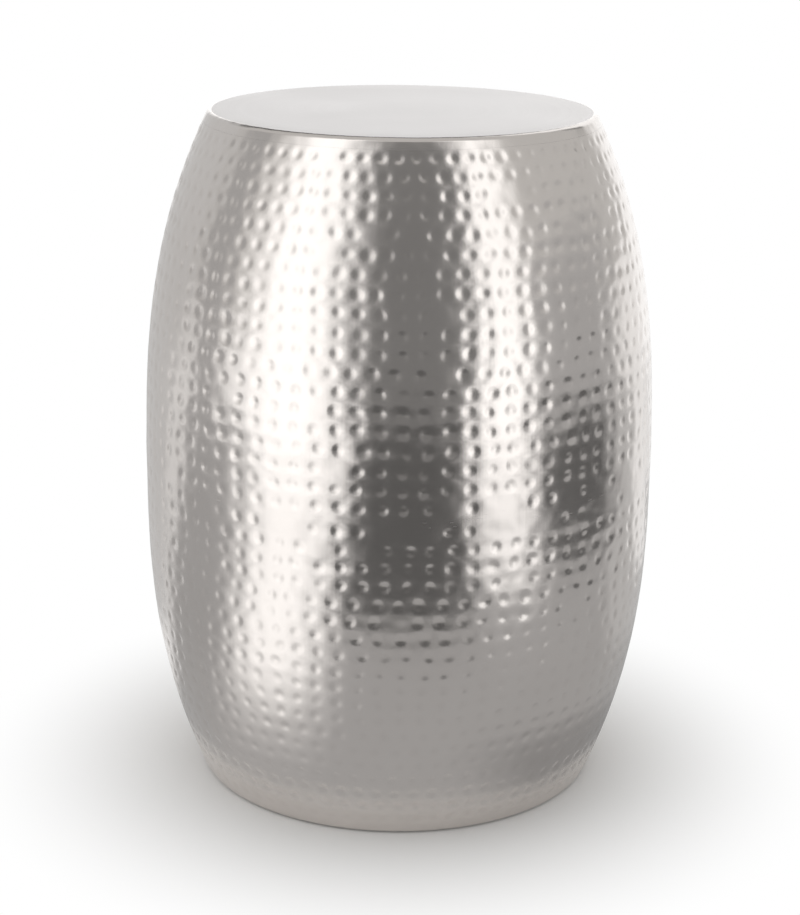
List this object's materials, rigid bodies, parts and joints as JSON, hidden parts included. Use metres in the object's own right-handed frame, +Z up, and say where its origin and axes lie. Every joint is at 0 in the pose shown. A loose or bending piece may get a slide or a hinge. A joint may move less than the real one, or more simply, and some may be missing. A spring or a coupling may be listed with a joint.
{
  "type": "barrel side table",
  "caption": "Barrel-shaped occasional table in hammered sheet metal with a flat smooth top, a welded mid seam and rubber feet under a rolled base edge.",
  "frame": {"origin": "middle of the footprint, on the floor under the feet", "axes": "+Z up along the barrel's axis, +X to the right and +Y away from the pictured front"},
  "size_m": [0.3474, 0.3474, 0.46],
  "materials": {
    "satin_top": "satin nickel tone, smooth",
    "hammered_shell": "polished nickel tone, hammered in rows",
    "dressed_weld": "weld ground flush and polished",
    "inner_steel": "plain mild steel, mill finish",
    "foot_rubber": "matt black",
    "zinc_fastener": "bright zinc plate"
  },
  "bodies": {
    "root": {"top_plate": "satin_top", "upper_shell": "hammered_shell", "lower_shell": "hammered_shell", "seam_weld": "dressed_weld", "seam_band": "inner_steel", "cross_bar_long": "inner_steel", "cross_bar_back": "inner_steel", "cross_bar_front": "inner_steel", "hem_wire": "inner_steel", "base_ring": "inner_steel", "foot_pad_1": "foot_rubber", "foot_pad_2": "foot_rubber", "foot_pad_3": "foot_rubber", "foot_pad_4": "foot_rubber", "foot_washer_1": "zinc_fastener", "foot_washer_2": "zinc_fastener", "foot_washer_3": "zinc_fastener", "foot_washer_4": "zinc_fastener", "foot_screw_1": "zinc_fastener", "foot_screw_2": "zinc_fastener", "foot_screw_3": "zinc_fastener", "foot_screw_4": "zinc_fastener", "foot_nut_1": "zinc_fastener", "foot_nut_2": "zinc_fastener", "foot_nut_3": "zinc_fastener", "foot_nut_4": "zinc_fastener"}
  },
  "joints": []
}
